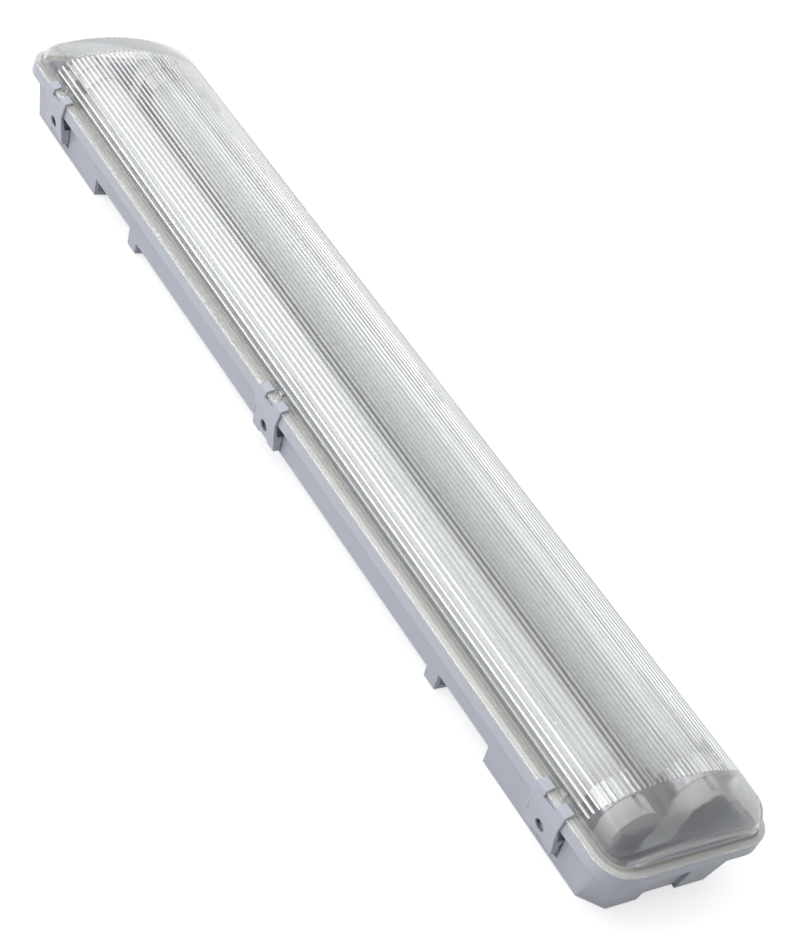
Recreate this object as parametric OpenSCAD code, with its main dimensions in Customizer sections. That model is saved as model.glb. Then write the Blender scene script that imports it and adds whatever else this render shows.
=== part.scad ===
// Vapour-tight twin-tube light: moulded tub, clear ribbed diffuser and six hinged clips.
// Millimetres. X runs along the length, Z points out of the mounting plane,
// and the origin is the centre of the flat back, which lies on Z = 0.

/* [Housing] */
// Length over the rim
body_len = 660; // [640:5:700]
// Width over the rim
body_w = 112; // [108:1:124]
// Height of the rim's top edge above the back
body_h = 34.2; // [33:0.2:38]
// Radius of the rim's corners in plan
rim_r = 18; // [16:1:22]
// Height of the band round the rim
rim_band = 6.6; // [5:0.2:8]
// How far the rim stands out over the side wall
rim_over_side = 5.4; // [4.5:0.1:6]
// How far the rim stands out over the end wall
rim_over_end = 4; // [3:0.1:5]
// How far the flat back stands in from the rim at each side
taper_side = 11.5; // [10:0.5:13]
// How far the flat back stands in from the rim at each end
taper_end = 8; // [6:0.5:10]
// Chamfer at the back's four corners in plan
base_chamfer = 11; // [6:1:14]
// Wall thickness of the tub
wall = 2.6; // [2.2:0.1:3]

/* [Back edges] */
// Distance of the middle stretch of the back from the rim's end
mid_end = 159.5; // [155:0.5:180]
// Length of each small foot along the edge
foot_len = 10; // [8:1:16]
// Length of each deep end block, from the rim's end
block_len = 102; // [90:1:115]
// How far the bevel stands in from the back's edge on the middle stretch
bevel_mid = 5.6; // [3:0.2:8]
// How far the bevel stands in from the back's edge beside the end blocks
bevel_side = 9; // [5:0.2:10]
// Width of the shallow channel under each end block
channel_w = 26; // [16:1:40]
// Depth of that channel
channel_d = 2.3; // [1:0.1:3]
// Depth of the recess that carries the channel up the end wall
recess_d = 1.6; // [0.8:0.1:1.8]

/* [Gasket groove] */
// Thickness of the groove's floor
shelf_t = 2; // [1.6:0.1:2.6]
// Thickness of the rim's outer wall and of the groove's inner wall
rim_wall = 1.8; // [1.4:0.1:2.2]
// Width of the groove
groove_w = 6; // [5:0.2:7]
// Height of the seated gasket
gasket_h = 3.6; // [3:0.1:4]
// Clearance of the gasket to each wall of its groove
gasket_gap = 0.2; // [0.1:0.05:0.3]
// How far the groove's inner wall stays below the rim's top edge
lip_drop = 0.8; // [0.5:0.1:1.2]

/* [Diffuser] */
// Height of the diffuser's crown above the back
crown_z = 59.8; // [56:0.2:70]
// Radius of the shallow crown
crown_r = 122; // [100:1:180]
// Radius of the ball that rounds every shoulder and corner of the dome
shoulder_r = 13; // [10:0.2:14]
// Wall thickness of the diffuser
lens_t = 2; // [1.6:0.1:2.4]
// Width of the flange outside the dome
flange_w = 4; // [3.6:0.1:4.6]
// Thickness of the flange at its outer edge
flange_edge = 1.5; // [1.2:0.1:2]
// Rise of the flange from its outer edge to the dome
flange_rise = 1.7; // [1.4:0.1:2]
// Clearance between the flange and the rim
flange_gap = 0.2; // [0.2:0.05:0.4]
// Width of the sealing tongue under the flange
tongue_w = 2; // [1.4:0.1:2.6]
// Distance of the ribs' ends from the rim's end
rib_end = 32.5; // [25:0.5:50]
// Number of ribs across the inside
rib_n = 35; // [21:2:37]
// Distance of the last rib at each side from the shoulder's foot, along the inside
rib_foot = 2.8; // [2:0.1:6]
// Width of each rib at its root
rib_w = 1.3; // [0.8:0.1:1.8]
// Height of each rib
rib_h = 0.7; // [0.4:0.1:1]
// Length of the stop beside each hook
stop_len = 5; // [3:0.5:7]
// Height of that stop above the flange
stop_h = 3; // [2:0.2:4]

/* [Clips] */
// Distance of the outer clips from the rim's end
clip_end = 50; // [45:1:75]
// Width of a clip
clip_w = 23.6; // [20:0.2:28]
// Sheet thickness of a clip
clip_t = 1.4; // [1:0.1:1.6]
// Clearance between a closed clip and the rim
clip_gap = 0.3; // [0.2:0.05:0.5]
// Height of the clip's lower edge above the back
clip_z = 8.3; // [8:0.1:9]
// How far the clip's lower edge stands in from its upper face
clip_lean = 6.7; // [6:0.1:7]
// Length of the hook over the flange
hook_len = 3.2; // [2.6:0.1:3.6]
// Width of the window between the hook's two fingers
window_w = 9; // [6:0.5:11]
// Diameter of the tool hole in the face
hole_d = 7; // [4:0.5:9]
// Height of the tool hole above the lower edge
hole_rise = 8.6; // [8:0.2:11]
// Thickness of the side cheeks
cheek_t = 1.2; // [1:0.1:1.6]
// How far the cheeks reach in past the pivot
cheek_back = 3; // [2.8:0.1:3.4]
// How far the cheeks' broad part reaches above the pivot
cheek_rise = 5.7; // [5:0.1:6.2]
// Height of the pivot above the back
pivot_z = 12.6; // [12.4:0.1:13]
// How far the pivot lies inside the rim's outer face
pivot_in = 8; // [7.8:0.1:8.4]
// Diameter of the pivot pin
pin_d = 2.4; // [2:0.1:2.6]
// Radial clearance of the pin in the housing's ear
pin_gap = 0.06; // [0.03:0.01:0.1]
// Width of the ear that carries the pin
ear_w = 8; // [6:0.5:10]
// Clearance at each side of the ear
ear_side = 0.6; // [0.4:0.1:1]
// Wall thickness behind a clip's pocket
pocket_wall = 2.2; // [2:0.1:2.6]

/* [Lamps] */
// Distance of a lamp's end faces from the rim's end
lamp_inset = 35.1; // [33:0.1:40]
// Distance between the two lamps
lamp_pitch = 47.4; // [44:0.2:50]
// Height of the lamps' axes above the back
lamp_z = 34.8; // [33:0.2:37]
// Diameter of the glass
glass_d = 25.4; // [24:0.2:26]
// Wall thickness of the glass
glass_t = 0.9; // [0.7:0.1:1.2]
// Length of a metal end cap
cap_len = 13; // [10:0.5:20]
// Wall thickness of an end cap
cap_t = 0.4; // [0.3:0.1:0.6]
// Thickness of an end cap's face
cap_in = 1.2; // [0.8:0.1:1.6]
// Distance between a lamp's two contact pins
contact_pitch = 12.7; // [12.5:0.1:13]
// Diameter of a contact pin
contact_d = 2.35; // [2.2:0.05:2.5]
// Length of a contact pin
contact_len = 7; // [6.6:0.1:7.4]
// Thickness of a lampholder along the lamp
holder_t = 11; // [10:0.5:13]
// Width of a lampholder
holder_w = 25; // [24:0.5:27]
// Gap between a lamp's end face and its holder
holder_gap = 0.4; // [0.3:0.1:0.8]
// Diameter of a holder's rotor
rotor_d = 18.4; // [17.8:0.2:19]
// Radial clearance of the rotor in its holder
rotor_gap = 0.07; // [0.03:0.01:0.1]

/* [Gear tray] */
// Height of the tray's top face above the back
tray_z = 17; // [16:0.5:19]
// Sheet thickness of the tray
tray_t = 1; // [0.8:0.1:1.2]
// Clearance between the tray's folded edges and the clip pockets
tray_gap = 2.7; // [1:0.1:4]
// Depth of the tray's folded edges
tray_fold = 6.5; // [5:0.5:8]
// Spread of each folded edge
tray_spread = 1.5; // [0:0.25:2]
// How far the tray reaches past the lampholders
tray_past = 2; // [1:0.5:4]
// Distance of the outer screw posts from the rim's end
post_outer = 75; // [68:1:90]
// Distance of the inner screw posts from the rim's end
post_inner = 210; // [190:1:230]
// Distance of the screw posts from the middle line
post_side = 13; // [8:1:15]
// Diameter of a screw post
post_d = 9; // [8:0.5:10]
// Diameter of the tray screws
screw_d = 3; // [2.5:0.1:3.5]
// Length of a tray screw under the tray
screw_len = 8; // [6:0.5:9]
// Height of a screw head
head_h = 2; // [1.6:0.1:2.4]

/* [Wiring] */
// Length of the terminal block
terminal_len = 44; // [36:1:50]
// Width of the terminal block
terminal_w = 16; // [14:0.5:17]
// Clearance between the terminal block and the tray's folded edge
terminal_gap = 5.8; // [4.5:0.1:7]
// Height of the terminal block
terminal_h = 11; // [9:0.5:12]
// Distance between neighbouring terminals
terminal_pitch = 13; // [10:0.5:14]
// Diameter of a terminal's screw hole
terminal_d = 4; // [3:0.1:4.4]
// Diameter of the wiring loom
loom_d = 3.2; // [2.4:0.2:3.6]

/* [Entries and fixing] */
// Distance of the fixing holes in the back from the rim's end
fix_end = 125; // [117:1:135]
// Diameter of a fixing hole
fix_d = 5.2; // [4.5:0.1:6]
// Diameter of the cable entry in the end wall
entry_d = 16; // [12:0.5:16]
// Height of the cable entry above the back
entry_z = 15; // [14.5:0.5:15.5]
// Diameter of the cable hole in the grommet
cable_d = 8.4; // [6:0.2:9]
// Length of the grommet's nose outside the wall
nose_len = 3.6; // [3:0.1:3.8]
// Inner diameter of the grommet behind its cable hole
grommet_d = 12; // [10:0.5:13]

/* [Hidden] */
$fn = 48;
eps = 0.01;

// How far a cut runs past the face that it opens
over = 1;

HX = body_len / 2;
HY = body_w / 2;
rim_z = body_h - rim_band;
base_hx = HX - taper_end;
base_hy = HY - taper_side;
top_hx = HX - rim_over_end;
top_hy = HY - rim_over_side;
top_r = rim_r - rim_over_side;
groove_z = rim_z + shelf_t;
lip_in = 2 * rim_wall + groove_w;
mid_half = HX - mid_end;
foot_end = mid_half + foot_len;
block_x = HX - block_len;
// Bevel lines of the back's edges: |y| - z equals these on the outside
bevel_y_mid = base_hy - bevel_mid;
bevel_y_side = base_hy - bevel_side;
channel_floor = channel_d + wall;

gasket_top = groove_z + gasket_h;
flange_z = body_h + flange_gap;
edge_z = flange_z + flange_edge;
dome_hx = HX - flange_w;
dome_hy = HY - flange_w;
dome_foot = edge_z + flange_rise;
tongue_in = rim_wall + (groove_w - tongue_w) / 2;
flange_slope = flange_rise / flange_w;

// Centres of the crown's arc and of the balls at the dome's corners
crown_c = crown_z - crown_r;
ball_reach = crown_r - shoulder_r;
ball_x = dome_hx - shoulder_r;
ball_y = dome_hy - shoulder_r;
ball_z = crown_c + sqrt(ball_reach * ball_reach - ball_y * ball_y);
crown_a = asin(ball_y / ball_reach);
crown_in = crown_r - lens_t;
shoulder_in = shoulder_r - lens_t;
// Lengths of the crown's inner arc, from the middle, and of a shoulder's inner arc
crown_arc = crown_in * crown_a * PI / 180;
shoulder_arc = shoulder_in * (90 - crown_a) * PI / 180;
rib_pitch = 2 * (crown_arc + shoulder_arc - rib_foot) / (rib_n - 1);
rib_half = HX - rib_end;
// How far a rib's root lies inside the dome's wall
rib_root = 0.15;

// Where the side wall and the end wall stand at a height
function wall_y(z) = base_hy + (top_hy - base_hy) * z / rim_z;
function wall_x(z) = base_hx + (top_hx - base_hx) * z / rim_z;

// Clip profile, in the plane across the housing, drawn for the +Y side
clip_pitch = HX - clip_end;
clip_xs = [-clip_pitch, 0, clip_pitch];
face_y = HY + clip_gap + clip_t;
foot_y = face_y - clip_lean;
bend_z = rim_z - 0.4;
hook_gap = 0.2;
lean = clip_lean / (bend_z - clip_z);
pivot_y = HY - pivot_in;
pivot = [pivot_y, pivot_z];
// Reach of the swinging clip behind its pivot, and the air left round it
sweep_r = 5.2;
sweep_gap = 0.4;
pocket_y = pivot_y - sweep_r - sweep_gap;
pocket_hx = clip_w / 2 + 2 * sweep_gap;
pocket_z0 = 5;
pocket_z1 = 21;
ear_r = pin_d / 2 + 1.4;
cheek_y = pivot_y - cheek_back;
cheek_z = pivot_z + cheek_rise;
function face_at(z) = foot_y + lean * (z - clip_z);
function flange_top(y) = edge_z + (HY - y) * flange_slope;

lamp_len = body_len - 2 * lamp_inset;
lamp_y = lamp_pitch / 2;
lamp_hx = lamp_len / 2;
// Radial play between the glass and its cap
cap_fit = 0.03;
cap_d = glass_d + 2 * (cap_t + cap_fit);
holder_x = lamp_hx + holder_gap;
// The holder's round part stands out a little over its foot
holder_r = holder_w / 2 + 0.9;
rotor_len = contact_len + 0.8;
slot_w = contact_d + 0.1;
// The holder's slot is wider than the rotor's, so that the pins slide in freely
slot_gap = 0.3;

tray_hx = holder_x + holder_t + tray_past;
tray_under = tray_z - tray_t;
// Half widths of the tray's flat top and of its folded edges
tray_edge = pocket_y - pocket_wall - tray_gap;
tray_hy = tray_edge - tray_spread;
tray_foot = tray_z - tray_fold;
// Screw posts, on alternate sides of the middle line
posts = [[post_outer - HX, -post_side], [post_inner - HX, post_side],
  [HX - post_inner, -post_side], [HX - post_outer, post_side]];

fix_x = HX - fix_end;
entry_face = wall_x(rim_z) + 0.2;
entry_in = wall_x(0) - wall - 1;
nose_x = entry_face + nose_len;
terminal_x = terminal_len / 2;
terminal_y = tray_edge - terminal_gap - terminal_w / 2;
terminal_xs = [-terminal_pitch, 0, terminal_pitch];
// Height of the terminal block's lower steps and depth of its screw holes
step_h = terminal_h - 4;
terminal_floor = wall + 4;
step_w = 4;
loom_z = wall + loom_d / 2 + 0.1;
cross_z = channel_floor + loom_d / 2 + 0.2;
loom_x = holder_x + holder_t / 2;

clip_colour = [0.72, 0.74, 0.77];
body_colour = [0.66, 0.69, 0.73];
white_colour = [0.93, 0.93, 0.92];

// Rounded rectangle with true arcs at its corners
module plan(hx, hy, r) {
  square([2 * (hx - r), 2 * hy], center = true);
  square([2 * hx, 2 * (hy - r)], center = true);
  for (sx = [-1, 1], sy = [-1, 1])
    translate([sx * (hx - r), sy * (hy - r)]) circle(r);
}

// Rectangle with chamfered corners
module octagon(hx, hy, c) {
  polygon([[hx - c, -hy], [hx, c - hy], [hx, hy - c], [hx - c, hy],
    [c - hx, hy], [-hx, hy - c], [-hx, c - hy], [c - hx, -hy]]);
}

// Band between two insets from the rim's outline
module rim_ring(inset_out, inset_in, z0, z1) {
  translate([0, 0, z0]) linear_extrude(z1 - z0) difference() {
    plan(HX - inset_out, HY - inset_out, rim_r - inset_out);
    plan(HX - inset_in, HY - inset_in, rim_r - inset_in);
  }
}

// Extrudes a profile drawn across the housing, [y, z], between two places on X
module across(x0, x1) {
  translate([x0, 0, 0]) rotate([90, 0, 90]) linear_extrude(x1 - x0) children();
}

// Cylinder along X
module rod_x(x0, x1, y, z, d) {
  translate([x0, y, z]) rotate([0, 90, 0]) cylinder(h = x1 - x0, d = d);
}

// Both sides, with the +Y side as drawn
module both_sides() {
  children();
  mirror([0, 1, 0]) children();
}

module both_ends() {
  children();
  mirror([1, 0, 0]) children();
}

// Drafted block from the back's octagon to the rounded outline under the rim
module tub_block(inset, z0) {
  hull() {
    translate([0, 0, z0]) linear_extrude(eps)
      octagon(wall_x(z0) - inset, wall_y(z0) - inset, base_chamfer);
    translate([0, 0, rim_z]) linear_extrude(eps)
      plan(top_hx - inset, top_hy - inset, top_r - inset, $fn = 24);
  }
}

// Wedge that bevels a back edge between two places on X
module edge_wedge(x0, x1, line_y) {
  across(x0, x1) polygon([[line_y - over, -over], [line_y + rim_z, rim_z], [line_y + rim_z, -over]]);
}

// All bevels, moved square to their faces by a shift inwards
module edge_bevels(shift) {
  both_sides() {
    edge_wedge(-mid_half, mid_half, bevel_y_mid - shift * sqrt(2));
    both_ends() edge_wedge(foot_end, block_x, bevel_y_side - shift * sqrt(2));
  }
}

// Drafted slab that takes the channel up the end wall, between two depths
module end_recess(depth, hy, top) {
  translate([0, hy, 0]) rotate([90, 0, 0]) linear_extrude(2 * hy)
    polygon([[wall_x(0) - depth, -over], [wall_x(0) - depth, 0], [wall_x(rim_z) - depth, top],
      [HX, top], [HX, -over]]);
}

module tub_cavity() {
  difference() {
    tub_block(wall, wall);
    intersection() {
      edge_bevels(wall);
      translate([-HX, -HY, 0]) cube([body_len, body_w, rim_z]);
    }
    both_ends() translate([block_x - wall, -channel_w / 2 - wall, 0])
      cube([HX, channel_w + 2 * wall, channel_floor]);
    both_ends() end_recess(recess_d + wall, channel_w / 2 + wall, rim_z + over);
    for (x = clip_xs) both_sides() translate([x - pocket_hx - wall, pocket_y - pocket_wall, 0])
      cube([2 * (pocket_hx + wall), HY, pocket_z1 + wall]);
  }
}

// Ear in a clip pocket, with its bore left to the housing
module pivot_ear() {
  across(-ear_w / 2, ear_w / 2) {
    translate(pivot) circle(ear_r);
    translate([pocket_y - over, pivot_z - ear_r / 2]) square([pivot_y - pocket_y + over, 1.5 * ear_r]);
  }
}

module tub_shell() {
  difference() {
    tub_block(0, 0);
    tub_cavity();
    edge_bevels(0);
    both_ends() end_recess(recess_d, channel_w / 2, rim_z);
    for (x = clip_xs) both_sides() translate([x - pocket_hx, pocket_y, pocket_z0])
      cube([2 * pocket_hx, HY, pocket_z1 - pocket_z0]);
  }
}

module housing() {
  color(body_colour) difference() {
    union() {
      tub_shell();
      rim_ring(0, lip_in, rim_z, groove_z);
      rim_ring(0, rim_wall, rim_z, body_h);
      rim_ring(rim_wall + groove_w, lip_in, rim_z, body_h - lip_drop);
      for (x = clip_xs) both_sides() translate([x, 0, 0]) pivot_ear();
      for (p = posts) translate([p[0], p[1], wall / 2]) cylinder(h = tray_under - wall / 2, d = post_d);
      both_ends() translate([fix_x, 0, wall / 2]) cylinder(h = wall, d = fix_d + 2 * wall);
      rod_x(-entry_face, -entry_in, 0, entry_z, entry_d + 2 * wall);
    }
    for (x = clip_xs) both_sides()
      rod_x(x - ear_w / 2 - over, x + ear_w / 2 + over, pivot_y, pivot_z, pin_d + 2 * pin_gap);
    for (p = posts) translate([p[0], p[1], tray_under - screw_len - over])
      cylinder(h = screw_len + 2 * over, d = screw_d + 0.1);
    both_ends() translate([fix_x, 0, -over]) cylinder(h = 2 * (wall + over), d = fix_d);
    both_ends() translate([block_x, -channel_w / 2, -over]) cube([HX, channel_w, channel_d + over]);
    rod_x(-HX, -entry_in + over, 0, entry_z, entry_d);
  }
}

module gasket() {
  color([0.9, 0.88, 0.8])
    rim_ring(rim_wall + gasket_gap, rim_wall + groove_w - gasket_gap, groove_z, gasket_top);
}

// Shallow crown with its two rounded ends, turned about the crown's long axis
module crown(inset) {
  low = ball_z - crown_c - shoulder_r / 2;
  translate([0, 0, crown_c]) rotate([0, -90, 0]) rotate([0, 0, -crown_a])
    rotate_extrude(angle = 2 * crown_a, $fn = 180) {
      translate([low, -ball_x]) square([crown_r - inset - low, 2 * ball_x]);
      translate([low, inset - dome_hx]) square([ball_reach - low, 2 * (dome_hx - inset)]);
      for (m = [-1, 1]) translate([ball_reach, m * ball_x]) circle(shoulder_r - inset, $fn = 48);
    }
}

// Closed pillow of the dome, from the base plane up, with ball-round shoulders and corners
module dome(inset) {
  r = shoulder_r - inset;
  linear_extrude(ball_z) plan(dome_hx - inset, dome_hy - inset, r);
  crown(inset);
  both_sides() rod_x(-ball_x, ball_x, ball_y, ball_z, 2 * r);
  for (sx = [-1, 1], sy = [-1, 1]) translate([sx * ball_x, sy * ball_y, ball_z])
    rotate([0, 0, atan2(-sy, -sx)]) sphere(r);
}

// One rib, hanging from an arc of the dome's inside
module rib(centre, turn, r) {
  across(-rib_half, rib_half) translate(centre) rotate(-turn)
    polygon([[-rib_w / 2, r + rib_root], [rib_w / 2, r + rib_root], [0, r - rib_h]]);
}

// Ribs at equal steps along the inside of the crown and then of the shoulders
module ribs() {
  for (i = [(1 - rib_n) / 2 : (rib_n - 1) / 2]) {
    past = abs(i) * rib_pitch - crown_arc;
    if (past <= 0)
      rib([0, crown_c], i * rib_pitch / crown_in * 180 / PI, crown_in);
    else
      rib([sign(i) * ball_y, ball_z], sign(i) * (crown_a + past / shoulder_in * 180 / PI), shoulder_in);
  }
}

module flange_profile() {
  polygon([[HY, flange_z], [HY, edge_z], [dome_hy, dome_foot], [dome_hy - lens_t, dome_foot],
    [dome_hy - lens_t, flange_z]]);
}

// Flange slab with its bevelled top: straight runs and corner revolves
module flange() {
  hx = HX - rim_r;
  hy = HY - rim_r;
  both_sides() across(-hx, hx) flange_profile();
  both_ends() translate([HX - HY, 0, 0]) rotate([0, 0, -90]) across(-hy, hy) flange_profile();
  for (sx = [-1, 1], sy = [-1, 1]) translate([sx * hx, sy * hy, 0])
    rotate([0, 0, sx > 0 ? (sy > 0 ? 0 : -90) : (sy > 0 ? 90 : 180)])
      rotate_extrude(angle = 90) translate([-hy, 0]) flange_profile();
}

// Small stop beside each hook that keeps the closed clip centred
module hook_stops() {
  for (x = clip_xs) both_sides() translate([x - stop_len / 2, dome_hy - over, dome_foot - over])
    cube([stop_len, lens_t, stop_h + over]);
}

module diffuser() {
  color([0.85, 0.88, 0.9, 0.4]) difference() {
    union() {
      difference() {
        dome(0);
        translate([-HX, -HY, -over]) cube([body_len, body_w, flange_z + over]);
      }
      flange();
      rim_ring(tongue_in, tongue_in + tongue_w, gasket_top, flange_z + over);
      hook_stops();
    }
    difference() {
      dome(lens_t);
      ribs();
    }
  }
}

// Plate, rolled hook and lower lip of a clip, in [y, z]
module clip_plate() {
  t = clip_t;
  inner = face_y - t;
  root_z = flange_top(HY) + hook_gap;
  tip_y = HY - hook_len;
  tip_z = flange_top(tip_y) + hook_gap;
  polygon([[foot_y, clip_z], [face_y, bend_z], [inner, bend_z], [foot_y - t, clip_z]]);
  translate([inner, bend_z]) square([t, root_z - bend_z]);
  intersection() {
    translate([inner, root_z]) circle(t);
    translate([inner - eps, root_z - eps]) square(2 * t);
  }
  polygon([[inner, root_z], [HY, root_z], [tip_y, tip_z], [tip_y, tip_z + t], [inner, root_z + t]]);
}

// Side cheek: broad round the pivot, narrow up to the rim, set a little into the plate
module cheek() {
  set = 0.1;
  polygon([[foot_y - set, clip_z], [face_at(cheek_z) - set, cheek_z], [cheek_y, cheek_z],
    [cheek_y, clip_z]]);
  polygon([[face_at(cheek_z) - set, cheek_z - over], [face_y - set, bend_z], [face_y - set, body_h],
    [face_y - clip_t, body_h], [face_y - clip_t, bend_z + set],
    [face_at(cheek_z) - 2 * clip_t, cheek_z - over]]);
}

module clip_at(x) {
  hw = clip_w / 2;
  fork = ear_w / 2 + ear_side;
  color(clip_colour) translate([x, 0, 0]) difference() {
    union() {
      across(-hw, hw) clip_plate();
      for (x0 = [-hw, hw - cheek_t]) across(x0, x0 + cheek_t) cheek();
      for (x0 = [-hw, fork]) translate([x0, cheek_y, clip_z])
        cube([hw - fork, foot_y - cheek_y - clip_t / 2, cheek_t]);
    }
    translate([-window_w / 2, HY - hook_len - over, body_h - over])
      cube([window_w, hook_len + over + clip_gap + 2 * clip_t, 10]);
    translate([-fork, pocket_y, clip_z - over])
      cube([2 * fork, HY - pocket_y, pivot_z - ear_r - clip_z + over - 0.3]);
    translate([0, face_y + over, clip_z + hole_rise]) rotate([90, 0, 0])
      cylinder(h = clip_lean + clip_t + 2 * over, d = hole_d);
    rod_x(-hw - over, hw + over, pivot_y, pivot_z, pin_d + 0.04);
  }
}

module pin_at(x) {
  color([0.75, 0.76, 0.78]) rod_x(x - clip_w / 2, x + clip_w / 2, pivot_y, pivot_z, pin_d);
}

// Section of the tray's sheet with its two folded edges
module tray_section() {
  half = [[tray_hy, tray_z], [tray_edge, tray_foot], [tray_edge - tray_t, tray_foot],
    [tray_hy - tray_t, tray_under]];
  polygon(concat(half, [for (i = [3 : -1 : 0]) [-half[i][0], half[i][1]]]));
}

module tray() {
  color(white_colour) difference() {
    across(-tray_hx, tray_hx) tray_section();
    for (p = posts) translate([p[0], p[1], tray_under - over])
      cylinder(h = tray_t + 2 * over, d = screw_d + 0.4);
    both_ends() both_sides() translate([loom_x, lamp_y, tray_under - over])
      cylinder(h = tray_t + 2 * over, d = loom_d + 1.2);
  }
}

// Cross-headed screws that hold the tray on its posts
module tray_screws() {
  head_d = 2 * screw_d;
  slot = [0.55 * head_d, 0.12 * head_d];
  color([0.8, 0.8, 0.8]) for (p = posts) translate([p[0], p[1], 0]) {
    translate([0, 0, tray_under - screw_len]) cylinder(h = screw_len + tray_t + eps, d = screw_d);
    translate([0, 0, tray_z]) difference() {
      cylinder(h = head_h, d = head_d);
      for (a = [0, 90]) rotate([0, 0, a]) translate([-slot[0] / 2, -slot[1] / 2, head_h / 2])
        cube([slot[0], slot[1], head_h]);
    }
  }
}

// Lampholder, drawn for the near end of the +Y lamp
module holder() {
  slot = slot_w + 2 * slot_gap;
  color(white_colour) difference() {
    across(holder_x, holder_x + holder_t) {
      translate([lamp_y, lamp_z]) circle(holder_r);
      translate([lamp_y - holder_w / 2, tray_z]) square([holder_w, lamp_z - tray_z]);
    }
    rod_x(holder_x - over, holder_x + rotor_len + 0.2, lamp_y, lamp_z, rotor_d + 2 * rotor_gap);
    translate([holder_x - over, lamp_y - slot / 2, lamp_z])
      cube([rotor_len + over + 0.2, slot, holder_r + over]);
  }
}

// Rotor with the slot that carries a lamp's two contact pins
module rotor() {
  color([0.88, 0.88, 0.86]) difference() {
    rod_x(holder_x, holder_x + rotor_len, lamp_y, lamp_z, rotor_d);
    translate([holder_x - over, lamp_y - (contact_pitch + slot_w) / 2, lamp_z - slot_w / 2])
      cube([contact_len - holder_gap + over + 0.6, contact_pitch + slot_w, slot_w]);
  }
}

module glass() {
  glass_hx = lamp_hx - 2 * cap_in;
  color([0.97, 0.97, 0.97]) difference() {
    rod_x(-glass_hx, glass_hx, lamp_y, lamp_z, glass_d);
    rod_x(-lamp_hx, lamp_hx, lamp_y, lamp_z, glass_d - 2 * glass_t);
  }
}

// End cap with its two contact pins, drawn for the near end of the +Y lamp
module cap() {
  color([0.82, 0.83, 0.84]) {
    difference() {
      rod_x(lamp_hx - cap_len, lamp_hx, lamp_y, lamp_z, cap_d);
      rod_x(lamp_hx - cap_len - over, lamp_hx - cap_in, lamp_y, lamp_z, glass_d + 2 * cap_fit);
    }
    for (s = [-1, 1])
      rod_x(lamp_hx - cap_in / 2, lamp_hx + contact_len, lamp_y + s * contact_pitch / 2, lamp_z, contact_d);
  }
}

// Three-pole block on the floor of the tub
module terminal_block() {
  color([0.9, 0.9, 0.88]) difference() {
    translate([-terminal_x, terminal_y - terminal_w / 2, wall]) {
      cube([terminal_len, terminal_w, step_h]);
      translate([0, step_w, 0]) cube([terminal_len, terminal_w - 2 * step_w, terminal_h]);
    }
    for (x = terminal_xs) translate([x, terminal_y, terminal_floor])
      cylinder(h = terminal_h, d = terminal_d);
  }
}

// Slotted screws, a running fit in their holes
module terminal_screws() {
  screw_h = terminal_h - 6;
  color([0.8, 0.76, 0.6]) for (x = terminal_xs) translate([x, terminal_y, terminal_floor]) difference() {
    cylinder(h = screw_h, d = terminal_d - 0.1);
    translate([-terminal_d / 2, -0.3, screw_h - over]) cube([terminal_d, 0.6, 2 * over]);
  }
}

// Part of the loom that stands up from one height to another
module riser(y, z0, z1) {
  translate([loom_x, y, z0]) {
    sphere(d = loom_d);
    cylinder(h = z1 - z0, d = loom_d);
  }
}

// Loom from the block along the floor to one end, across, and up to both holders
module loom() {
  side = max(lamp_y, terminal_y);
  color([0.95, 0.95, 0.95]) {
    rod_x(terminal_x, loom_x, terminal_y, loom_z, loom_d);
    riser(terminal_y, loom_z, cross_z);
    translate([loom_x, side, cross_z]) rotate([90, 0, 0]) cylinder(h = lamp_y + side, d = loom_d);
    for (y = [-lamp_y, lamp_y]) riser(y, cross_z, tray_z - 0.1);
  }
}

// Rubber grommet: a nose with the cable hole, a wider neck in the wall and a lip behind it
module cable_grommet() {
  lip = 2;
  color([0.3, 0.31, 0.32]) difference() {
    union() {
      rod_x(-nose_x, -entry_face, 0, entry_z, entry_d + 2 * lip);
      rod_x(-entry_face, -entry_in, 0, entry_z, entry_d - 0.1);
      rod_x(-entry_in, -entry_in + lip, 0, entry_z, entry_d + 1.5 * lip);
    }
    rod_x(-nose_x - over, -entry_face, 0, entry_z, cable_d);
    rod_x(-entry_face - 0.2, -entry_in + lip + over, 0, entry_z, grommet_d);
  }
}

module left() {
  mirror([0, 1, 0]) children();
}

module far() {
  mirror([1, 0, 0]) children();
}

housing();
gasket();
diffuser();
tray();
tray_screws();
left() clip_at(-clip_pitch);  // clip_left_far
left() clip_at(0);  // clip_left_mid
left() clip_at(clip_pitch);  // clip_left_near
clip_at(-clip_pitch);  // clip_right_far
clip_at(0);  // clip_right_mid
clip_at(clip_pitch);  // clip_right_near
left() pin_at(-clip_pitch);  // pin_left_far
left() pin_at(0);  // pin_left_mid
left() pin_at(clip_pitch);  // pin_left_near
pin_at(-clip_pitch);  // pin_right_far
pin_at(0);  // pin_right_mid
pin_at(clip_pitch);  // pin_right_near
left() far() holder();  // holder_left_far
left() holder();  // holder_left_near
far() holder();  // holder_right_far
holder();  // holder_right_near
left() far() rotor();  // rotor_left_far
left() rotor();  // rotor_left_near
far() rotor();  // rotor_right_far
rotor();  // rotor_right_near
left() glass();  // glass_left
glass();  // glass_right
left() far() cap();  // cap_left_far
left() cap();  // cap_left_near
far() cap();  // cap_right_far
cap();  // cap_right_near
terminal_block();
terminal_screws();
loom();  // loom_near
far() loom();  // loom_far
cable_grommet();
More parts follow.
